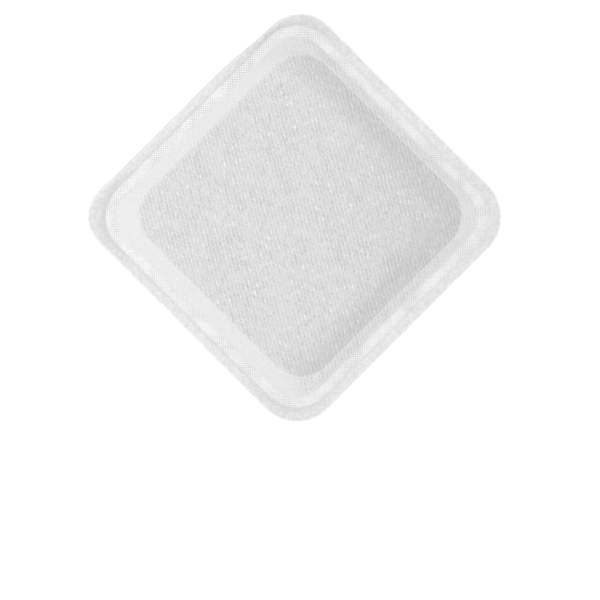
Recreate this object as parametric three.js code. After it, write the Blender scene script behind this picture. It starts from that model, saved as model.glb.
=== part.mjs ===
// A square super absorbent wound dressing, lying face up. Two nonwoven sheets are welded together in a
// band round a pad of cellulose fluff and absorbent granules, with a loose flange left outside the weld.
// Millimetres, +Z up. The origin is on the surface that the dressing lies on, under the middle of its sheets.
import * as THREE from "three";

// The pad, a fluff slab with a rounded upper edge
const coreSide = 80.6;
const coreThickness = 3.2;
const coreCornerRadius = 12.4;
const coreEdgeRadius = 1.4;
const coreShiftX = 0.9; // the pad was laid a little off the middle of the sheets
const coreShiftY = -0.4;

// The tissue on top of the pad, which spreads the fluid and keeps the granules in
const tissueThickness = 0.3;
const tissueInset = 0.3; // from the edge of the pad's flat top

// The cover sheets, the weld that joins them and the flange outside it
const backSheetThickness = 0.4;
const contactSheetThickness = 0.4; // over the pad
const flangeLoft = 0.5; // of the contact sheet outside the weld, where nothing presses it
const coreToWeld = 3.2;
const weldWidth = 3.0;
const weldThickness = 0.2; // what the weld leaves of the contact sheet
const weldBackDepth = 0.15; // how far the weld is pressed into the back
const weldWallRun = 0.3; // the weld's slanting sides, seen from above
const weldInnerCornerRadius = 9.5;
const weldOuterCornerRadius = 12.5;
const flangeWidth = 3.5;
const sheetCornerRadius = 14;
const cutEdgeBevel = 0.12; // the die rounds the cut edge of each sheet

// How finely the round shapes are cut
const cornerSteps = 12;
const shoulderSteps = 6;

// Half widths and levels that follow from the sizes above
const coreHalf = coreSide / 2;
const coreFlatHalf = coreHalf - coreEdgeRadius;
const coreFlatCornerRadius = coreCornerRadius - coreEdgeRadius;
const weldInnerHalf = coreHalf + coreToWeld;
const weldOuterHalf = weldInnerHalf + weldWidth;
const sheetHalf = weldOuterHalf + flangeWidth;
const backTop = backSheetThickness;
const coreTop = backTop + coreThickness;
const weldTop = backTop + weldThickness;
const flangeTop = backTop + flangeLoft;
const coreShift = new THREE.Vector2(coreShiftX, coreShiftY);
const noShift = new THREE.Vector2(0, 0);

// One level of a solid: a rounded square, by its half width, corner radius, height and middle
function station(half, radius, height, middle = noShift) {
  return { half, radius, height, middle };
}

// The corners of a rounded square as points, anticlockwise seen from above
function outline({ half, radius, middle }) {
  const points = [];
  const reach = half - radius;
  for (let corner = 0; corner < 4; corner++) {
    const start = (corner * Math.PI) / 2;
    const across = corner === 0 || corner === 3 ? reach : -reach;
    const along = corner < 2 ? reach : -reach;
    const arc = new THREE.ArcCurve(
      middle.x + across,
      middle.y + along,
      radius,
      start,
      start + Math.PI / 2,
      false,
    );
    points.push(...arc.getPoints(cornerSteps));
  }
  return points;
}

// A closed solid through a list of stations, which runs from the middle of its upper face out over the
// edge and back to the middle of its lower face
function loft(stations) {
  const rings = stations.map(outline);
  const count = rings[0].length;
  const positions = [];
  rings.forEach((ring, level) => {
    for (const point of ring) {
      positions.push(point.x, point.y, stations[level].height);
    }
  });
  const faces = [];
  const last = rings.length - 1;
  for (const [a, b, c] of THREE.ShapeUtils.triangulateShape(rings[0], [])) {
    faces.push(a, b, c);
  }
  for (let level = 0; level < last; level++) {
    for (let i = 0; i < count; i++) {
      const next = (i + 1) % count;
      const upper = level * count;
      const lower = upper + count;
      faces.push(upper + i, lower + i, lower + next);
      faces.push(upper + i, lower + next, upper + next);
    }
  }
  for (const [a, b, c] of THREE.ShapeUtils.triangulateShape(rings[last], [])) {
    faces.push(last * count + a, last * count + c, last * count + b);
  }
  const geometry = new THREE.BufferGeometry();
  geometry.setAttribute("position", new THREE.Float32BufferAttribute(positions, 3));
  geometry.setIndex(faces);
  geometry.computeVertexNormals();
  return geometry;
}

// The stations round the pad's upper edge at a distance from it, from the flat top down to where the
// sheet leaves the edge and slopes straight down to the weld's inner side, at footHeight
function shoulder(distance, footHeight) {
  const radius = coreEdgeRadius + distance;
  const middleHeight = coreTop - coreEdgeRadius;
  const run = weldInnerHalf - coreFlatHalf;
  const rise = middleHeight - footHeight;
  const slope = Math.atan2(rise, run) + Math.asin(radius / Math.hypot(run, rise));
  const stations = [];
  for (let step = 0; step <= shoulderSteps; step++) {
    const angle = (slope * step) / shoulderSteps;
    const out = radius * Math.sin(angle);
    stations.push(
      station(
        coreFlatHalf + out,
        coreFlatCornerRadius + out,
        middleHeight + radius * Math.cos(angle),
        coreShift,
      ),
    );
  }
  return stations;
}

// The pad
function absorbentCore() {
  const stations = [];
  for (let step = 0; step <= shoulderSteps; step++) {
    const angle = (Math.PI * step) / (2 * shoulderSteps);
    const out = coreEdgeRadius * Math.sin(angle);
    stations.push(
      station(
        coreFlatHalf + out,
        coreFlatCornerRadius + out,
        coreTop - coreEdgeRadius + coreEdgeRadius * Math.cos(angle),
        coreShift,
      ),
    );
  }
  stations.push(station(coreHalf, coreCornerRadius, backTop, coreShift));
  return loft(stations);
}

// The tissue, a flat sheet cut to the pad's flat top
function spreadingTissue() {
  const cut = new THREE.Shape(
    outline(
      station(
        coreFlatHalf - tissueInset,
        coreFlatCornerRadius - tissueInset,
        coreTop,
        coreShift,
      ),
    ),
  );
  const geometry = new THREE.ExtrudeGeometry(cut, {
    depth: tissueThickness,
    bevelEnabled: false,
  });
  geometry.translate(0, 0, coreTop);
  return geometry;
}

// The sheet that meets the wound: over the pad, down to the weld, across it and out to the cut edge
function contactSheet() {
  const over = shoulder(tissueThickness + contactSheetThickness, weldTop);
  const under = shoulder(tissueThickness, backTop).reverse();
  return loft([
    ...over,
    station(weldInnerHalf, weldInnerCornerRadius, weldTop),
    station(weldOuterHalf - weldWallRun, weldOuterCornerRadius - weldWallRun, weldTop),
    station(weldOuterHalf, weldOuterCornerRadius, flangeTop),
    station(sheetHalf - cutEdgeBevel, sheetCornerRadius - cutEdgeBevel, flangeTop),
    station(sheetHalf, sheetCornerRadius, flangeTop - cutEdgeBevel),
    station(sheetHalf, sheetCornerRadius, backTop),
    station(weldInnerHalf, weldInnerCornerRadius, backTop),
    ...under,
  ]);
}

// The fluid repellent sheet behind the pad, flat, with the weld pressed into its underside
function backSheet() {
  return loft([
    station(sheetHalf, sheetCornerRadius, backTop),
    station(sheetHalf, sheetCornerRadius, cutEdgeBevel),
    station(sheetHalf - cutEdgeBevel, sheetCornerRadius - cutEdgeBevel, 0),
    station(weldOuterHalf, weldOuterCornerRadius, 0),
    station(weldOuterHalf - weldWallRun, weldOuterCornerRadius - weldWallRun, weldBackDepth),
    station(weldInnerHalf + weldWallRun, weldInnerCornerRadius + weldWallRun, weldBackDepth),
    station(weldInnerHalf, weldInnerCornerRadius, 0),
  ]);
}

function piece(name, geometry, colour, roughness) {
  const material = new THREE.MeshStandardMaterial({
    color: colour,
    roughness,
    metalness: 0,
  });
  const mesh = new THREE.Mesh(geometry, material);
  mesh.name = name;
  return mesh;
}

const dressing = new THREE.Group();
dressing.name = "super_absorbent_dressing";
dressing.add(
  piece("back_sheet", backSheet(), "#e6e7e8", 0.75),
  piece("absorbent_core", absorbentCore(), "#dcdcda", 0.95),
  piece("spreading_tissue", spreadingTissue(), "#e9e8e4", 0.9),
  piece("contact_sheet", contactSheet(), "#e8e9ea", 0.8),
);

export default dressing;
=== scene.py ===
import bpy
import math
import numpy as np
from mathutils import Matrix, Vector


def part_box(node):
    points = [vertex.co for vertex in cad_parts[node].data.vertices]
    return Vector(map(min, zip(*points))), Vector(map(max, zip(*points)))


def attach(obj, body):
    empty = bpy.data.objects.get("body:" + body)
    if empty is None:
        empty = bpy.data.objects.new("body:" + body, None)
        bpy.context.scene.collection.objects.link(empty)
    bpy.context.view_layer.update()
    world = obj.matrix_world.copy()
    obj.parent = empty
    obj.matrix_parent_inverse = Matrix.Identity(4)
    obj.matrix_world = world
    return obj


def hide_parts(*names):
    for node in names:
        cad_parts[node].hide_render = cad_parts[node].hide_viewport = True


# A square super absorbent dressing lying face up, seen from straight above with one corner to the top.
# Sizes are in millimetres until a mesh gets its points.
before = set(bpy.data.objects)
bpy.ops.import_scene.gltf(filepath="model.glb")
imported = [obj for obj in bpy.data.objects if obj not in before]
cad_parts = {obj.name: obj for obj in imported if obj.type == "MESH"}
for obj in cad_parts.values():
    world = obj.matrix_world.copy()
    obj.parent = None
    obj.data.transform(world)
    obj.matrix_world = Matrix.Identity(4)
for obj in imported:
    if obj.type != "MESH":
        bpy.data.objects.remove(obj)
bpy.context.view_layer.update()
mm = 0.001

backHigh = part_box("back_sheet")[1] / mm
coreLow, coreHigh = (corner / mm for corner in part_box("absorbent_core"))
tissueLow, tissueHigh = (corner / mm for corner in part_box("spreading_tissue"))
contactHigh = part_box("contact_sheet")[1] / mm
padMiddle = (coreLow + coreHigh) / 2

# Rounded squares that more than one piece follows, by half width and corner radius
padEdgeRadius = 1.4
padCornerRadius = 12.4
tissueInset = 0.3  # from the edge of the pad's flat top
edge = (backHigh.x, 14.0)
weldOuter = (46.5, 12.5)
weldInner = (43.5, 9.5)
coreOutline = ((coreHigh.x - coreLow.x) / 2, padCornerRadius)
field = (coreOutline[0] - padEdgeRadius, padCornerRadius - padEdgeRadius)  # the pad's flat top
tissueCut = ((tissueHigh.x - tissueLow.x) / 2, field[1] - tissueInset)

# How the whole dressing lies: the pad is crowned and a little lumpy, and the loose flange lifts
lie = {
    "crownDrop": 1.0,
    "crownWidth": 11.0,
    "lumps": 0.07,
    "lumpWaves": (9, 26),
    "fineLumpWaves": (3, 6),
    "flangeLift": 0.14,
    "flangeWaves": (8, 22),
    "cornerLift": 0.55,
}

# Where the die cut the flange unevenly: narrower along one side and wider at one corner
cut = {
    "narrowBy": 1.5,
    "narrowAt": 36.0,
    "narrowOver": 13.0,
    "narrowFade": 14.0,  # how fast it ends round the corners
    "widerBy": 1.3,
    "widerOver": 8.0,
    "widerFrom": 4.0,  # the middle of the wider part, in from the square's corner
}


# sRGB hex to the linear colour that a socket takes
def linear(hexColour):
    values = [int(hexColour[i : i + 2], 16) / 255 for i in (1, 3, 5)]
    return [v / 12.92 if v < 0.0405 else ((v + 0.055) / 1.055) ** 2.4 for v in values] + [1.0]


# Smooth uneven waves between two wavelengths, from about -1 to 1
def waves(x, y, shortest, longest, seed, count=28):
    draw = np.random.default_rng(seed)
    total = np.zeros_like(x)
    for _ in range(count):
        heading = draw.uniform(0, math.pi)
        number = 2 * math.pi / draw.uniform(shortest, longest)
        start = draw.uniform(0, 2 * math.pi)
        total += np.sin(number * (x * math.cos(heading) + y * math.sin(heading)) + start)
    return total / math.sqrt(count / 2) / 2


def smoothStep(low, high, value):
    share = np.clip((value - low) / (high - low), 0, 1)
    return share * share * (3 - 2 * share)


# How far a point lies outside a rounded square, less than 0 inside
def outside(x, y, outline, middle=(0, 0)):
    half, radius = outline
    across = abs(x - middle[0]) - half + radius
    along = abs(y - middle[1]) - half + radius
    away = np.hypot(np.maximum(across, 0), np.maximum(along, 0))
    return away + np.minimum(np.maximum(across, along), 0) - radius


def inset(outline, by):
    return outline[0] - by, outline[1] - by


# From 0 along the dressing's sides to 1 out at its corners
def cornerShare(x, y):
    return smoothStep(50, 62, np.hypot(x, y))


# The narrow band along the edge where the web's fibres are cut, which is painted lighter: partly its whiter
# fibre ends, partly painted light against the shade of the rounded rim
def frayedEdgeLightShare(x, y):
    return smoothStep(-0.5, -0.1, outside(x, y, edge))


# How much lower than flat the pad's face lies, and the sheet on it as far out as the weld
def padFall(x, y):
    toward = np.clip(1 + outside(x, y, field, padMiddle) / lie["crownWidth"], 0, 1)
    broad = waves(x, y, *lie["lumpWaves"], 3)
    fine = waves(x, y, *lie["fineLumpWaves"], 4)
    fromWeld = np.clip(-outside(x, y, weldInner) / (weldInner[0] - field[0]), 0, 1)
    return (lie["crownDrop"] * toward**2 + lie["lumps"] * (0.6 - broad - 0.35 * fine)) * fromWeld


# How high the loose flange of both sheets lies off the table
def flangeRise(x, y):
    loose = smoothStep(-0.3, 3.2, outside(x, y, weldOuter))
    wavy = lie["flangeLift"] * (waves(x, y, *lie["flangeWaves"], 5) + 1)
    return loose * (wavy + lie["cornerLift"] * cornerShare(x, y) * (1 - x / edge[0] / 2))


# Moves the flange's points to where its edge was really cut
def asCut(x, y):
    share = np.clip(outside(x, y, weldOuter) / (edge[0] - weldOuter[0]), 0, 1)
    onSide = smoothStep(0, cut["narrowFade"], y - abs(x) + cut["narrowFade"])
    alongSide = np.exp(-(((x - cut["narrowAt"]) / cut["narrowOver"]) ** 2))
    narrow = share * cut["narrowBy"] * onSide * alongSide
    middle = edge[0] - cut["widerFrom"]
    away = np.hypot(x + middle, y - middle) / cut["widerOver"]
    wider = share * cut["widerBy"] * np.exp(-(away**2)) / math.sqrt(2)
    return x - wider, y + wider - narrow


# Points in rows and columns, whose outer rows run round the corners of a rounded square. A station gives a
# row, counted from the edge, its outline, its height and its share of the pad's shift off the middle
def roundedRows(columns, rows, stations):
    column, row = np.meshgrid(np.arange(columns + 1), np.arange(rows + 1))
    sideX = np.sign(column - columns / 2)
    sideY = np.sign(row - rows / 2)
    fromSide = np.minimum(column, columns - column)
    fromEnd = np.minimum(row, rows - row)
    ring = np.minimum(fromSide, fromEnd)

    at = [station[0] for station in stations]
    half = [station[1][0] for station in stations]
    radius = [station[1][1] for station in stations]
    across = np.interp(fromSide, [*at, columns / 2], [*half, 0])
    along = np.interp(fromEnd, [*at, rows / 2], [*half, 0])
    ringAcross = np.interp(ring, [*at, columns / 2], [*half, 0])
    ringAlong = np.interp(ring, [*at, rows / 2], [*half, 0])
    inside = np.maximum(half[-1] - (ringAcross + ringAlong) / 2, 0)
    turn = np.maximum(np.interp(ring, at, radius) - inside, 1e-6)

    onSide = fromSide <= fromEnd
    toCorner = np.where(onSide, ringAlong - along, ringAcross - across)
    angle = math.pi / 4 * (1 - np.minimum(toCorner / turn, 1))
    angle = np.where(onSide, angle, math.pi / 2 - angle)
    inCorner = toCorner < turn
    x = np.where(inCorner, ringAcross - turn + turn * np.cos(angle), across)
    y = np.where(inCorner, ringAlong - turn + turn * np.sin(angle), along)
    follow = np.interp(ring, at, [station[3] for station in stations])
    height = np.interp(ring, at, [station[2] for station in stations])
    return x * sideX + follow * padMiddle.x, y * sideY + follow * padMiddle.y, height


# A closed sheet from a fine face and a coarse one, each rows of points, and a rim between them with one
# face for each edge of the coarse one
def closedSheet(name, fine, coarse):
    fineAt = np.arange(fine[0].size).reshape(fine[0].shape)
    coarseAt = fine[0].size + np.arange(coarse[0].size).reshape(coarse[0].shape)
    faces, rims = [], []
    for at in (fineAt, coarseAt):
        corners = (at[:-1, :-1], at[:-1, 1:], at[1:, 1:], at[1:, :-1])
        faces += np.stack(corners, axis=-1).reshape(-1, 4).tolist()
        rim = np.concatenate([at[0, :-1], at[:-1, -1], at[-1, :0:-1], at[:0:-1, 0]])
        rims.append(np.append(rim, rim[0]).tolist())
    fineRim, coarseRim = rims
    step = (len(fineRim) - 1) // (len(coarseRim) - 1)
    for k in range(len(coarseRim) - 1):
        faces.append([*fineRim[k * step : (k + 1) * step + 1], coarseRim[k + 1], coarseRim[k]])
    points = np.concatenate([np.stack(face, axis=-1).reshape(-1, 3) for face in (fine, coarse)])
    mesh = bpy.data.meshes.new(name)
    mesh.from_pydata((points * mm).tolist(), [], faces)
    piece = bpy.data.objects.new(name, mesh)
    bpy.context.collection.objects.link(piece)
    bpy.ops.object.select_all(action="DESELECT")
    piece.select_set(True)
    bpy.context.view_layer.objects.active = piece
    bpy.ops.object.mode_set(mode="EDIT")
    bpy.ops.mesh.select_all(action="SELECT")
    bpy.ops.mesh.normals_make_consistent(inside=False)
    bpy.ops.object.mode_set(mode="OBJECT")
    bpy.ops.object.shade_smooth()
    print(name, len(mesh.polygons), "faces")
    return piece


# Numbers for each point of the fine face, which the material reads by name
def mark(piece, name, *values):
    kind, field = ("FLOAT", "value") if len(values) == 1 else ("FLOAT_VECTOR", "vector")
    layer = piece.data.attributes.new(name, kind, "POINT")
    filled = np.zeros((len(piece.data.vertices), len(values)), np.float32)
    filled[: values[0].size] = np.stack(values, axis=-1).reshape(-1, len(values))
    layer.data.foreach_set(field, filled.ravel())


# The sheet's rows from the weld's inner edge up a straight slope and over the pad's rounded edge
def slopeStations(firstRow, foot, top, radius, slopeRows, shoulderRows):
    rise, run = top - radius - foot, weldInner[0] - field[0]
    steepest = math.atan2(rise, run) + math.asin(radius / math.hypot(run, rise))
    out = radius * math.sin(steepest)
    head = top - radius + radius * math.cos(steepest)
    stations = []
    for step in range(slopeRows):
        share = step / slopeRows
        turn = weldInner[1] + (field[1] + out - weldInner[1]) * share
        outline = (weldInner[0] + (field[0] + out - weldInner[0]) * share, turn)
        stations.append((firstRow + step, outline, foot + (head - foot) * share, share))
    for step in range(shoulderRows + 1):
        angle = steepest * (1 - step / shoulderRows)
        outline = inset(field, -radius * math.sin(angle))
        height = top - radius + radius * math.cos(angle)
        stations.append((firstRow + slopeRows + step, outline, height, 1))
    return stations


# Bonds, long dots on a hexagonal lattice: how far each point is pressed in, and its nearest dot's strength
def bondPattern(x, y, size):
    pressed = np.zeros_like(x)
    strength = np.zeros_like(x)
    for step in (-1, 0, 1):
        lane = np.round(y / size["bondRow"]) + step
        offset = np.where(lane % 2 == 0, 0, size["bondPitch"] / 2)
        for side in (-1, 0, 1):
            column = np.round((x - offset) / size["bondPitch"]) + side
            dx = x - offset - column * size["bondPitch"]
            dy = y - lane * size["bondRow"]
            long = dx * math.cos(size["bondTilt"]) + dy * math.sin(size["bondTilt"])
            short = dy * math.cos(size["bondTilt"]) - dx * math.sin(size["bondTilt"])
            spot = np.exp(-((long / size["bondLength"]) ** 2) - (short / size["bondWidth"]) ** 2)
            chance = np.modf(abs(np.sin(column * 12.9898 + lane * 78.233) * 43758.5453))[0]
            strength = np.where(spot > pressed, chance, strength)
            pressed = np.maximum(pressed, spot)
    return pressed, 0.3 + 0.7 * strength


# Soft folds that spread from the pad's corners down the slope to the weld
def cornerPleats(x, y):
    centre = weldInner[0] - weldInner[1]
    across, along = np.maximum(abs(x) - centre, 0), np.maximum(abs(y) - centre, 0)
    turned = np.sin(13 * np.arctan2(along, across + 1e-9) + 1.5 * waves(x, y, 12, 30, 41))
    offPad = smoothStep(0, 2, outside(x, y, field, padMiddle))
    offWeld = smoothStep(0, -1.2, outside(x, y, weldInner))
    return turned * offPad * offWeld * smoothStep(0, 3, across) * smoothStep(0, 3, along)


# The contact sheet, which meets the wound: drawn over the pad, welded in a band and loose outside it. It is
# taut on the sides of the pad that lie to the picture's right, and slack on the others
contactSize = {
    "columns": 284,  # four to a bond across the pad
    "rows": 320,
    "weldFloor": backHigh.z + 0.2,
    "flangePuff": 0.6,  # over the weld
    "thickness": 0.34,
    "shoulderRadius": 2.0,
    "crease": 0.07,  # pressed in along both edges of the weld
    "pulledIn": 0.15,  # share of the flange by which this sheet falls short of the back along one side
    "wrinkle": 0.18,
    "wrinkleWaves": (1.3, 2.8),
    "pleat": 0.08,  # where the sheet is formed round the pad's corners
    "wander": 0.16,  # of the web's rows of bonds
    "wanderWaves": (2.5, 7),
    "bondPitch": 1.396,  # about 60 bonds to the square centimetre
    "bondRow": 1.2,
    "bondLength": 0.6,
    "bondWidth": 0.34,
    "bondTilt": math.radians(60),
    "bondDepth": 0.18,
    "slackSlope": 0.08,  # how plainly the bonds show on the slope where the web is slack
    "tautSlope": 0.75,  # and how much more where it is taut
    "smoothed": 0.65,  # how much less toward the picture's right corner
    "smoothedOver": (60, 76),
    "tautOver": 0.7,  # how far it is taut over the pad's edge
    "tautBlend": 8.0,
    "padBlend": (0.3, 1.2),  # how gradually the field ends, at most places and along its far side
    "padBlendOver": (28, 38),
    "shadeBand": 12.0,  # width along the pad's taut sides where shade is painted into the web's colour
    "shadeAcross": 0.6,  # more of it toward the picture's right
    "shadeAcrossOver": (5, 70),
    "seamShade": 0.15,  # along the weld's outer edge
    "cornerSeamShade": 0.6,  # more of it at the corners to the picture's left
    "seamWidth": 0.5,
    "curlShade": 0.28,  # where the flange curls at its corners
    "farCurlShade": 0.35,  # more of it at the picture's top
    "formedShade": 0.32,  # where the slope is formed round the pad's top corner
    "formedShadeOver": (46, 52),
}


# The upper face's rows, from the cut edge in, across the weld and up over the pad
def contactStations(size):
    floor, puff = size["weldFloor"], size["flangePuff"]
    return [
        (0, inset(edge, 0.15), backHigh.z + 0.04, 0),
        (1, edge, backHigh.z + 0.16, 0),
        (2, inset(edge, 0.04), floor + 0.62 * puff, 0),
        (3, inset(edge, 0.2), floor + 0.84 * puff, 0),
        (4, inset(edge, 0.6), floor + 0.94 * puff, 0),
        (6, inset(edge, 1.6), floor + puff, 0),
        (8, inset(weldOuter, -1.1), floor + 0.94 * puff, 0),
        (9, inset(weldOuter, -0.7), floor + 0.76 * puff, 0),
        (10, inset(weldOuter, -0.32), floor + 0.32 * puff, 0),
        (11, inset(weldOuter, 0), floor - size["crease"], 0),
        (12, inset(weldOuter, 0.35), floor, 0),
        (16, inset(weldInner, -0.35), floor, 0),
        *slopeStations(17, floor - size["crease"], contactHigh.z, size["shoulderRadius"], 9, 6),
    ]


# The flange's points, cut unevenly and pulled in a little along one side
def contactCut(x, y, size):
    cutX, cutY = asCut(x, y)
    return cutX, cutY - size["pulledIn"] * np.maximum(y - weldOuter[0], 0)


# The underside, coarser: flat on the back sheet, then up over the tissue
def contactUnderside(size):
    low, high = backHigh.z + 0.03, contactHigh.z - size["thickness"]
    stations = [
        (0, inset(edge, 0.6), low, 0),
        (3, weldOuter, low, 0),
        *slopeStations(6, low, high, size["shoulderRadius"] - 0.3, 3, 4),
    ]
    x, y, z = roundedRows(size["columns"] // 4, size["rows"] // 4, stations)
    return (*contactCut(x, y, size), z + flangeRise(x, y) - padFall(x, y))


# From 0 to 1 where shade is painted into the web's colour: beside the taut edge of the pad, at the weld's
# outer edge, where the flange curls up off the table and where the slope is formed round the pad's top corner
def paintedShadePlaces(x, y, size, taut, overPad, loose):
    corner = cornerShare(x, y)
    top = np.maximum(x + y, 0) / edge[0] / 2
    right = (x - y) / edge[0] / 2
    fromField = outside(x, y, field, padMiddle) - size["tautOver"] * taut
    beside = smoothStep(-size["shadeBand"], 0, fromField)
    across = size["shadeAcross"] * smoothStep(*size["shadeAcrossOver"], x - y)
    besidePadShade = taut * overPad * (beside + across)
    atSeam = np.exp(-((outside(x, y, weldOuter) / size["seamWidth"]) ** 2))
    seam = atSeam * (size["seamShade"] + size["cornerSeamShade"] * corner * (x < 0))
    nearWeld = 1.25 - 0.7 * smoothStep(0.4, 3.2, outside(x, y, weldOuter))
    curl = size["curlShade"] + size["farCurlShade"] * top - 0.05 * right
    curled = curl * corner * loose * nearWeld
    onSlope = (1 - overPad) * smoothStep(0.1, -0.8, outside(x, y, weldInner))
    atCorner = smoothStep(*size["formedShadeOver"], np.hypot(x, y))
    formed = size["formedShade"] * top * onSlope * atCorner
    return np.clip(np.max([besidePadShade, seam, curled, formed], axis=0), 0, 1)


def makeContactSheet(size):
    x, y, z = roundedRows(size["columns"], size["rows"], contactStations(size))
    loose = smoothStep(0, 0.8, outside(x, y, weldOuter))
    fused = smoothStep(0.15, -0.15, outside(x, y, weldOuter))
    fused *= smoothStep(-0.15, 0.15, outside(x, y, weldInner))
    taut = smoothStep(-size["tautBlend"], size["tautBlend"], x - y)
    fromField = outside(x, y, field, padMiddle) - size["tautOver"] * taut
    blend = np.interp(smoothStep(*size["padBlendOver"], y), [0, 1], size["padBlend"])
    overPad = smoothStep(blend, -blend, fromField)
    onSlope = smoothStep(0.1, -0.8, outside(x, y, weldInner))
    smoothed = 1 - size["smoothed"] * smoothStep(*size["smoothedOver"], x - y)
    ribbed = onSlope * (size["slackSlope"] + size["tautSlope"] * taut * smoothed)
    ribbed += (1 - ribbed) * overPad
    webX = x + size["wander"] * waves(x, y, *size["wanderWaves"], 11)
    webY = y + size["wander"] * waves(x, y, *size["wanderWaves"], 12)
    pressed, strength = bondPattern(webX, webY, size)

    z -= padFall(x, y) + size["bondDepth"] * pressed * strength * ribbed
    z += size["pleat"] * cornerPleats(x, y)
    z += flangeRise(x, y)
    z += size["wrinkle"] * loose * waves(x, y, *size["wrinkleWaves"], 6, 60)
    upper = (*contactCut(x, y, size), z)
    piece = closedSheet("contact_sheet_web", upper, contactUnderside(size))
    mark(piece, "webPlace", webX, webY, np.zeros_like(x))
    mark(piece, "bondStrength", strength)
    mark(piece, "ribbed", ribbed)
    mark(piece, "overPad", overPad)
    mark(piece, "loose", loose)
    # Painted shade: the web's colour is darkened beside the pad's taut edge, in the weld's outer crease, on
    # the curled flange corners and round the pad's top corner
    mark(piece, "paintedShade", paintedShadePlaces(x, y, size, taut, overPad, loose))
    # Painted light, in part: the cut edge's band is made lighter both for its whiter fibre ends and against
    # the shade on the rounded rim
    mark(piece, "frayedEdgeLight", frayedEdgeLightShare(x, y))
    mark(piece, "fused", fused)
    return piece


contact = makeContactSheet(contactSize)

# The back sheet lies flat, with the weld pressed into its underside
backSize = {
    "columns": 284,
    "rows": 284,
    "weldDepth": 0.16,
    "bondPitch": 1.7,
    "bondRow": 1.47,
    "bondLength": 0.42,
    "bondWidth": 0.36,
    "bondTilt": math.radians(30),
    "bondDepth": 0.09,
}


def makeBackSheet(size):
    top = backHigh.z - 0.02
    stations = [
        (0, inset(edge, 0.15), top, 0),
        (1, edge, top - 0.1, 0),
        (2, inset(edge, 0.02), 0.12, 0),
        (3, inset(edge, 0.25), 0.0, 0),
        (10, inset(weldOuter, -0.25), 0.0, 0),
        (11, inset(weldOuter, 0.15), size["weldDepth"], 0),
        (20, inset(weldInner, -0.15), size["weldDepth"], 0),
        (21, inset(weldInner, 0.25), 0.0, 0),
    ]
    x, y, z = roundedRows(size["columns"], size["rows"], stations)
    fused = smoothStep(0.1, -0.2, outside(x, y, weldOuter))
    fused *= smoothStep(-0.1, 0.1, outside(x, y, weldInner))
    pressed, strength = bondPattern(x, y, size)
    inFromEdge = smoothStep(0, -0.6, outside(x, y, edge))
    z += flangeRise(x, y) + size["bondDepth"] * pressed * strength * (1 - fused) * inFromEdge
    upper = [(0, inset(edge, 0.5), top, 0), (6, weldInner, top, 0)]
    upperX, upperY, upperZ = roundedRows(size["columns"] // 4, size["rows"] // 4, upper)
    upperZ += flangeRise(upperX, upperY)
    piece = closedSheet("back_sheet_web", (*asCut(x, y), z), (*asCut(upperX, upperY), upperZ))
    mark(piece, "webPlace", x, y, np.zeros_like(x))
    mark(piece, "bondStrength", strength)
    mark(piece, "ribbed", 1 - fused)
    # Painted light, in part: the cut edge's band is made lighter both for its whiter fibre ends and against
    # the shade on the rounded rim
    mark(piece, "frayedEdgeLight", frayedEdgeLightShare(x, y))
    mark(piece, "overPad", smoothStep(0.5, -0.4, outside(x, y, coreOutline, padMiddle)))
    mark(piece, "fused", fused)
    return piece


back = makeBackSheet(backSize)

# The pad: a slab of fluff, uneven where fibres and granules lie thicker
coreSize = {"columns": 160, "rows": 160, "grain": 0.04, "grainWaves": (1.6, 3.5)}


def makeCore(size):
    low, high = coreLow.z + 0.02, coreHigh.z - 0.08
    stations = [(0, inset(coreOutline, 0.25), low, 1), (1, inset(coreOutline, 0.05), low + 0.3, 1)]
    for step in range(7):
        angle = math.pi / 2 * (1 - step / 6)
        by = padEdgeRadius * (1 - math.sin(angle)) + 0.05
        height = high - padEdgeRadius + padEdgeRadius * math.cos(angle)
        stations.append((2 + step, inset(coreOutline, by), height, 1))
    x, y, z = roundedRows(size["columns"], size["rows"], stations)
    fall = padFall(x, y) + size["grain"] * (1 - waves(x, y, *size["grainWaves"], 22, 60))
    z -= fall * (z - low) / (high - low)
    lower = [(0, inset(coreOutline, 0.6), low, 1), (6, inset(coreOutline, 8), low, 1)]
    lowX, lowY, lowZ = roundedRows(size["columns"] // 4, size["rows"] // 4, lower)
    return closedSheet("absorbent_pad", (x, y, z), (lowX, lowY, lowZ))


core = makeCore(coreSize)

# The tissue over the pad, creped fine across the machine's direction
tissueSize = {"columns": 240, "rows": 80, "thickness": 0.1, "crepe": 0.03, "crepePitch": 1.3}


def makeTissue(size):
    middle = (tissueLow.z + tissueHigh.z) / 2 - 0.03
    faces = []
    for side, coarseness in ((1, 1), (-1, 4)):
        stations = [(0, tissueCut, middle + side * size["thickness"] / 2, 1)]
        stations.append((20 / coarseness, inset(tissueCut, 9), stations[0][2], 1))
        x, y, z = roundedRows(size["columns"] // coarseness, size["rows"] // coarseness, stations)
        z -= padFall(x, y)
        if side == 1:
            ridges = 2 * math.pi * x / size["crepePitch"] + 2.5 * waves(x, y, 5, 14, 31)
            z += size["crepe"] * np.sin(ridges)
        faces.append((x, y, z))
    return closedSheet("spreading_tissue_web", *faces)


tissue = makeTissue(tissueSize)


# Adds a node with its settings. An input is a value, a socket, or a node for its first output
def addNode(tree, kind, inputs=None, **settings):
    node = tree.nodes.new(kind)
    for name, value in settings.items():
        setattr(node, name, value)
    for socket, value in (inputs or {}).items():
        if isinstance(value, bpy.types.Node):
            value = value.outputs[0]
        if isinstance(value, bpy.types.NodeSocket):
            tree.links.new(value, node.inputs[socket])
        else:
            node.inputs[socket].default_value = value
    return node


def newMaterial(name):
    material = bpy.data.materials.new(name)
    material.use_nodes = True
    material.node_tree.nodes.clear()
    return material, material.node_tree


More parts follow.
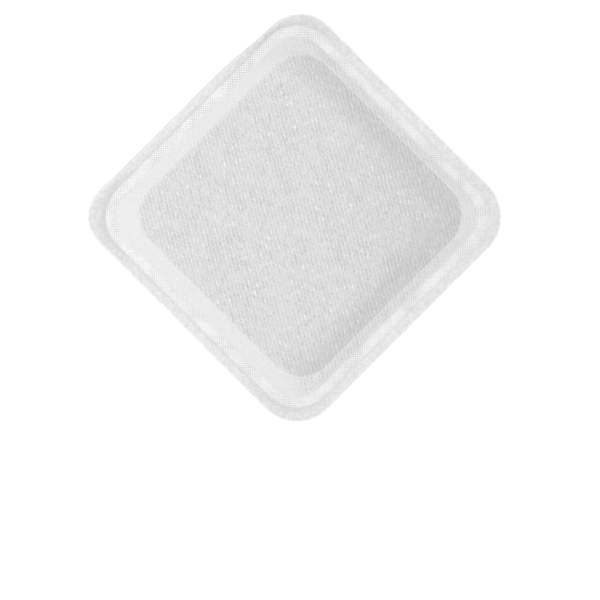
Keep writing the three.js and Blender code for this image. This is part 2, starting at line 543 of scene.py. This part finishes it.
# How far a point is from the nearest bond, in the bond's own half lengths. The bonds are two rectangular
# lattices, one in the middle of the other
def bondDistance(tree, place, size):
    half = (size["bondPitch"] / 2, size["bondRow"], 1.0)
    distances = []
    for centre in ((0, 0, 0), (half[0], half[1], 0)):
        high = tuple(c + h for c, h in zip(centre, half))
        low = tuple(c - h for c, h in zip(centre, half))
        cell = addNode(tree, "ShaderNodeVectorMath", {0: place, 1: high, 2: low}, operation="WRAP")
        turned = addNode(
            tree,
            "ShaderNodeMapping",
            {
                "Vector": cell,
                "Location": centre,
                "Rotation": (0, 0, size["bondTilt"]),
                "Scale": (size["bondLength"], size["bondWidth"], 1),
            },
            vector_type="TEXTURE",
        )
        away = addNode(tree, "ShaderNodeVectorMath", {0: turned}, operation="LENGTH")
        distances.append(away.outputs["Value"])
    return addNode(tree, "ShaderNodeMath", dict(enumerate(distances)), operation="MINIMUM")


# Bundles of fibres that stand up between the bonds and lie along them; the web is made lighter on them as a
# painted highlight on their raised tops
def tuftBundles(tree, place, look, size):
    combed = addNode(
        tree,
        "ShaderNodeMapping",
        {
            "Vector": place,
            "Rotation": (0, 0, size["bondTilt"]),
            "Scale": (look["tuftLength"], look["tuftWidth"], 1),
        },
        vector_type="TEXTURE",
    )
    bundles = addNode(tree, "ShaderNodeTexNoise", {"Vector": combed, "Scale": 1.0, "Detail": 1.0})
    return addNode(
        tree, "ShaderNodeMapRange", {0: bundles, 1: 0.47, 2: 0.66}, interpolation_type="SMOOTHSTEP"
    )


# Fibres lying three ways, drawn about ten times as thick as the real 0.02 mm so that they show
def lyingFibres(tree, solid, look):
    thickness = look["fibreWidth"] * mm
    fibres = None
    for heading in (0.3, 1.35, 2.4):
        stretched = addNode(
            tree,
            "ShaderNodeMapping",
            {
                "Vector": solid,
                "Rotation": (0, 0, heading),
                "Scale": (look["fibreLength"] * mm, thickness, thickness),
            },
            vector_type="TEXTURE",
        )
        lying = addNode(tree, "ShaderNodeTexNoise", {"Vector": stretched, "Scale": 1.0, "Detail": 2.0})
        if fibres:
            lying = addNode(tree, "ShaderNodeMath", {0: fibres, 1: lying}, operation="MAXIMUM")
        fibres = lying
    return addNode(tree, "ShaderNodeMapRange", {0: fibres, 1: 0.45, 2: 0.75})


# The weld roller's knurl, rows of small squares at 45 degrees to the dressing's sides: 1 in its grooves
def knurlGrooves(tree, solid, look):
    half = (look["knurlPitch"] * mm / 2,) * 2 + (1.0,)
    low = tuple(-h for h in half)
    turned = addNode(tree, "ShaderNodeMapping", {"Vector": solid, "Rotation": (0, 0, math.pi / 4)})
    square = addNode(tree, "ShaderNodeVectorMath", {0: turned, 1: half, 2: low}, operation="WRAP")
    square = addNode(tree, "ShaderNodeVectorMath", {0: square}, operation="ABSOLUTE")
    sides = addNode(tree, "ShaderNodeSeparateXYZ", {0: square}).outputs
    fromMiddle = addNode(tree, "ShaderNodeMath", {0: sides[0], 1: sides[1]}, operation="MAXIMUM")
    return addNode(
        tree,
        "ShaderNodeMapRange",
        {0: fromMiddle, 1: half[0] * 0.68, 2: half[0] * 0.95},
        interpolation_type="SMOOTHSTEP",
    )


# Spunbond polypropylene, point bonded: a soft matt web of fibres, with small clear flat dots where the hot
# roller bonded it, and closed, whiter and knurled where the weld fused it
def spunbondWeb(name, look, size):
    material, tree = newMaterial(name)
    solid = addNode(tree, "ShaderNodeTexCoord").outputs["Object"]
    place = addNode(tree, "ShaderNodeAttribute", attribute_name="webPlace").outputs["Vector"]
    strength, ribbed, overPad, paintedShade, fused, loose, frayedEdgeLight = (
        addNode(tree, "ShaderNodeAttribute", attribute_name=layer).outputs["Fac"]
        for layer in ("bondStrength", "ribbed", "overPad", "paintedShade", "fused", "loose", "frayedEdgeLight")
    )
    clouds = addNode(tree, "ShaderNodeTexNoise", {"Vector": solid, "Scale": 1 / (6 * mm), "Detail": 3.0})
    patches = addNode(tree, "ShaderNodeMapRange", {0: clouds, 1: 0.35, 2: 0.65, 3: 0.55, 4: 1.15})

    # Each bond is a flat dot in a pressed rim, and the rim is darkened with painted shade
    nearest = bondDistance(tree, place, size)
    dot = addNode(
        tree, "ShaderNodeMapRange", {0: nearest, 1: 0.6, 2: 0.3}, interpolation_type="SMOOTHSTEP"
    )
    rim = addNode(
        tree, "ShaderNodeMapRange", {0: nearest, 1: 1.5, 2: 0.5}, interpolation_type="SMOOTHSTEP"
    )
    showing = addNode(tree, "ShaderNodeMath", {0: ribbed, 1: patches}, operation="MULTIPLY")
    bonded = addNode(tree, "ShaderNodeMath", {0: strength, 1: showing}, operation="MULTIPLY")
    dotShare = addNode(tree, "ShaderNodeMath", {0: dot, 1: bonded}, operation="MULTIPLY")
    rimShare = addNode(tree, "ShaderNodeMath", {0: rim, 1: bonded}, operation="MULTIPLY")

    # Tufts, coloured with a painted highlight, stand less in the rims and where shade is painted
    tuftShare = tuftBundles(tree, place, look, size)
    offRims = addNode(tree, "ShaderNodeMapRange", {0: rim, 3: 1.0, 4: 0.25})
    offShade = addNode(tree, "ShaderNodeMapRange", {0: paintedShade, 3: 1.0, 4: 0.5})
    for share in (offRims, offShade, showing):
        tuftShare = addNode(tree, "ShaderNodeMath", {0: tuftShare, 1: share}, operation="MULTIPLY")

    groove = knurlGrooves(tree, solid, look)
    groove = addNode(tree, "ShaderNodeMath", {0: groove, 1: patches}, operation="MULTIPLY")
    welded = addNode(
        tree,
        "ShaderNodeMix",
        {0: groove, 6: linear(look["knurlTop"]), 7: linear(look["knurlGroove"])},
        data_type="RGBA",
    ).outputs[2]

    # The fibres and a soft mottle shade the whole web, the loose flange the most
    strands = lyingFibres(tree, solid, look)
    mottle = addNode(
        tree,
        "ShaderNodeTexNoise",
        {"Vector": solid, "Scale": 1 / (1.3 * mm), "Detail": 1.0, "Distortion": 1.5},
    )
    mottle = addNode(tree, "ShaderNodeMath", {0: mottle, 1: 0.5}, operation="SUBTRACT")
    mottleShare = addNode(tree, "ShaderNodeMapRange", {0: loose, 3: 0.6, 4: 3.0})
    mottle = addNode(tree, "ShaderNodeMath", {0: mottle, 1: mottleShare}, operation="MULTIPLY")
    uneven = addNode(tree, "ShaderNodeMath", {0: strands, 1: mottle}, operation="ADD")
    shade = addNode(
        tree,
        "ShaderNodeMapRange",
        {0: uneven, 1: -0.4, 2: 1.2, 3: 1 - look["strandShow"], 4: 1 + look["strandShow"]},
    )

    # The web's colour in layers: its own grey over the pad, painted shade where marked, a painted highlight
    # on the tufts, painted shade in the bond rims, the bonds' own darker dots, the weld, the cut edge made
    # lighter partly with painted light, and the fibres' tone over all
    colour = linear(look["web"])
    for share, over, how in (
        (overPad, linear(look["overPad"]), "MIX"),
        (paintedShade, linear(look["paintedShade"]), "MIX"),
        (tuftShare, linear(look["tuftHighlight"]), "MIX"),
        (rimShare, linear(look["paintedRimShade"]), "MULTIPLY"),
        (dotShare, linear(look["dot"]), "MIX"),
        (fused, welded, "MIX"),
        (frayedEdgeLight, linear(look["fibreEndsAndPaintedLight"]), "MIX"),
        (1.0, shade, "MULTIPLY"),
    ):
        colour = addNode(
            tree, "ShaderNodeMix", {0: share, 6: colour, 7: over}, data_type="RGBA", blend_type=how
        ).outputs[2]

    relief = addNode(tree, "ShaderNodeMath", {0: strands, 1: 0.5}, operation="MULTIPLY")
    knurled = addNode(tree, "ShaderNodeMath", {0: groove, 1: fused}, operation="MULTIPLY")
    for height, how in ((tuftShare, "ADD"), (rimShare, "SUBTRACT"), (knurled, "SUBTRACT")):
        relief = addNode(tree, "ShaderNodeMath", {0: relief, 1: height}, operation=how)
    bump = addNode(
        tree, "ShaderNodeBump", {"Height": relief, "Strength": 0.8, "Distance": look["relief"] * mm}
    )
    closed = addNode(tree, "ShaderNodeMath", {0: dotShare, 1: fused}, operation="MAXIMUM")
    roughness = addNode(tree, "ShaderNodeMapRange", {0: closed, 3: 0.85, 4: 0.55})
    shader = addNode(
        tree,
        "ShaderNodeBsdfPrincipled",
        {
            "Base Color": colour,
            "Roughness": roughness,
            "IOR": 1.49,
            "Sheen Weight": 0.1,
            "Sheen Roughness": 0.5,
            "Normal": bump,
        },
    )
    addNode(tree, "ShaderNodeOutputMaterial", {"Surface": shader})
    return material


contactLook = {
    "web": "#e7e7e7",
    "overPad": "#dededf",
    "paintedShade": "#cfcfd0",
    "tuftHighlight": "#f9f9f9",
    "tuftLength": 1.9,
    "tuftWidth": 0.34,
    "paintedRimShade": "#e8e8ea",
    "dot": "#d9d9da",
    "knurlGroove": "#dedede",
    "knurlTop": "#fbfbfb",
    "fibreEndsAndPaintedLight": "#f6f6f6",
    "knurlPitch": 0.71,
    "fibreLength": 1.1,
    "fibreWidth": 0.24,
    "strandShow": 0.1,
    "relief": 0.16,
}
backLook = {
    "web": "#e6e7e8",
    "overPad": "#e2e3e4",
    "paintedShade": "#dcdcdd",
    "tuftHighlight": "#f4f4f5",
    "tuftLength": 2.0,
    "tuftWidth": 0.5,
    "paintedRimShade": "#ebecee",
    "dot": "#d9dadc",
    "knurlGroove": "#dadada",
    "knurlTop": "#f6f6f6",
    "fibreEndsAndPaintedLight": "#f6f6f6",
    "knurlPitch": 0.71,
    "fibreLength": 2.0,
    "fibreWidth": 0.15,
    "strandShow": 0.06,
    "relief": 0.06,
}


# Defibred wood pulp: matt and off-white, flecked with clear absorbent granules of 0.3 to 0.8 mm
def pulpFluff(name, look):
    material, tree = newMaterial(name)
    solid = addNode(tree, "ShaderNodeTexCoord").outputs["Object"]
    cells = addNode(
        tree, "ShaderNodeTexVoronoi", {"Vector": solid, "Scale": 1 / (look["granulePitch"] * mm)}
    ).outputs["Distance"]
    granules = addNode(tree, "ShaderNodeMapRange", {0: cells, 1: 0.32, 2: 0.22})
    tufts = addNode(tree, "ShaderNodeTexNoise", {"Vector": solid, "Scale": 1 / (0.6 * mm), "Detail": 5.0})
    fluff = addNode(
        tree,
        "ShaderNodeMix",
        {0: tufts, 6: linear(look["shade"]), 7: linear(look["fibre"])},
        data_type="RGBA",
    ).outputs[2]
    flecked = addNode(tree, "ShaderNodeMath", {0: granules, 1: 0.6}, operation="MULTIPLY")
    colour = addNode(
        tree, "ShaderNodeMix", {0: flecked, 6: fluff, 7: linear(look["granule"])}, data_type="RGBA"
    ).outputs[2]
    relief = addNode(tree, "ShaderNodeMath", {0: tufts, 1: flecked}, operation="ADD")
    bump = addNode(tree, "ShaderNodeBump", {"Height": relief, "Strength": 0.8, "Distance": 0.25 * mm})
    roughness = addNode(tree, "ShaderNodeMapRange", {0: granules, 3: 0.95, 4: 0.5})
    shader = addNode(
        tree, "ShaderNodeBsdfPrincipled", {"Base Color": colour, "Roughness": roughness, "Normal": bump}
    )
    addNode(tree, "ShaderNodeOutputMaterial", {"Surface": shader})
    return material


# Creped cellulose tissue: matt, slightly warm, its fibres combed along the machine's direction
def crepedTissue(name, look):
    material, tree = newMaterial(name)
    solid = addNode(tree, "ShaderNodeTexCoord").outputs["Object"]
    combed = addNode(
        tree,
        "ShaderNodeMapping",
        {"Vector": solid, "Scale": (0.2 * mm, 1.8 * mm, 1.0)},
        vector_type="TEXTURE",
    )
    fibres = addNode(tree, "ShaderNodeTexNoise", {"Vector": combed, "Scale": 1.0, "Detail": 4.0})
    colour = addNode(
        tree,
        "ShaderNodeMix",
        {0: fibres, 6: linear(look["shade"]), 7: linear(look["tissue"])},
        data_type="RGBA",
    ).outputs[2]
    bump = addNode(tree, "ShaderNodeBump", {"Height": fibres, "Strength": 0.6, "Distance": 0.06 * mm})
    shader = addNode(
        tree, "ShaderNodeBsdfPrincipled", {"Base Color": colour, "Roughness": 0.9, "Normal": bump}
    )
    addNode(tree, "ShaderNodeOutputMaterial", {"Surface": shader})
    return material


fluffLook = {"fibre": "#f1efe8", "shade": "#d6d3c9", "granule": "#c9cdcb", "granulePitch": 1.1}
tissueLook = {"tissue": "#f2f0ea", "shade": "#e0ded6"}


def finishPiece(piece, material, node):
    piece.data.materials.append(material)
    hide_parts(node)
    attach(piece, "root")


softWeb = spunbondWeb("point bonded spunbond polypropylene", contactLook, contactSize)
closeWeb = spunbondWeb("calendered spunbond polypropylene", backLook, backSize)
fluff = pulpFluff("defibred pulp with granules", fluffLook)
creped = crepedTissue("creped cellulose tissue", tissueLook)
finishPiece(contact, softWeb, "contact_sheet")
finishPiece(back, closeWeb, "back_sheet")
finishPiece(core, fluff, "absorbent_core")
finishPiece(tissue, creped, "spreading_tissue")

print("pieces finished")

# Studio: white floor, soft light from all round with a weak key from the picture's left, and the camera
studio = {
    "ambient": 0.965,
    "keyWatts": 0.17,
    "keySize": 0.2,
    "keyDistance": 0.35,
    "keyHeight": math.radians(44),
    "keyTurn": math.radians(178),  # from the picture's right, anticlockwise
    "floorColour": "#c8c8c8",
    "floorLift": 0.6,
    "lens": 135.0,
    "sensor": 36.0,
    "photoSide": 600,
    "pixelSize": 0.3175,  # mm of dressing a pixel
    "middleAt": (296.4, 216.8),
}
imageRight = np.array([1, -1, 0]) / math.sqrt(2)
imageUp = np.array([1, 1, 0]) / math.sqrt(2)


def makeFloor(look):
    bpy.ops.object.select_all(action="DESELECT")
    bpy.ops.mesh.primitive_plane_add(size=4, location=(0, 0, -0.00005))
    floor = bpy.context.object
    floor.name = "floor"
    material, tree = newMaterial("white studio floor")
    camera = addNode(tree, "ShaderNodeLightPath").outputs["Is Camera Ray"]
    lift = addNode(tree, "ShaderNodeMath", {0: camera, 1: look["floorLift"]}, operation="MULTIPLY")
    shader = addNode(
        tree,
        "ShaderNodeBsdfPrincipled",
        {
            "Base Color": linear(look["floorColour"]),
            "Roughness": 0.9,
            "Specular IOR Level": 0.0,
            "Emission Color": (1, 1, 1, 1),
            "Emission Strength": lift,
        },
    )
    addNode(tree, "ShaderNodeOutputMaterial", {"Surface": shader})
    floor.data.materials.append(material)


def makeWorld(look):
    world = bpy.data.worlds.new("studio")
    bpy.context.scene.world = world
    world.use_nodes = True
    tree = world.node_tree
    tree.nodes.clear()
    camera = addNode(tree, "ShaderNodeLightPath").outputs["Is Camera Ray"]
    strength = addNode(tree, "ShaderNodeMapRange", {0: camera, 3: look["ambient"], 4: 1.0})
    sky = addNode(tree, "ShaderNodeBackground", {"Color": (1, 1, 1, 1), "Strength": strength})
    addNode(tree, "ShaderNodeOutputWorld", {"Surface": sky})


def makeKeyLight(look):
    bpy.ops.object.light_add(type="AREA")
    lamp = bpy.context.object
    lamp.name = "key"
    lamp.data.shape = "SQUARE"
    lamp.data.size = look["keySize"]
    lamp.data.energy = look["keyWatts"]
    level = imageRight * math.cos(look["keyTurn"]) + imageUp * math.sin(look["keyTurn"])
    direction = level * math.cos(look["keyHeight"]) + np.array([0, 0, math.sin(look["keyHeight"])])
    lamp.location = direction * look["keyDistance"]
    lamp.rotation_mode = "QUATERNION"
    lamp.rotation_quaternion = lamp.location.to_track_quat("Z", "Y")


def makeCamera(look):
    bpy.ops.object.camera_add()
    camera = bpy.context.object
    camera.data.lens = look["lens"]
    camera.data.sensor_width = look["sensor"]
    camera.data.clip_end = 20
    distance = look["photoSide"] * look["pixelSize"] * mm * look["lens"] / look["sensor"]
    right, down = (look["photoSide"] / 2 - at for at in look["middleAt"])
    place = (imageRight * right - imageUp * down) * look["pixelSize"] * mm
    camera.location = (place[0], place[1], distance + 2 * backHigh.z * mm)
    camera.rotation_euler = (0, 0, math.radians(-45))
    bpy.context.scene.camera = camera


makeFloor(studio)
makeWorld(studio)
makeKeyLight(studio)
makeCamera(studio)
bpy.context.scene.view_settings.view_transform = "Standard"
print("studio ready")
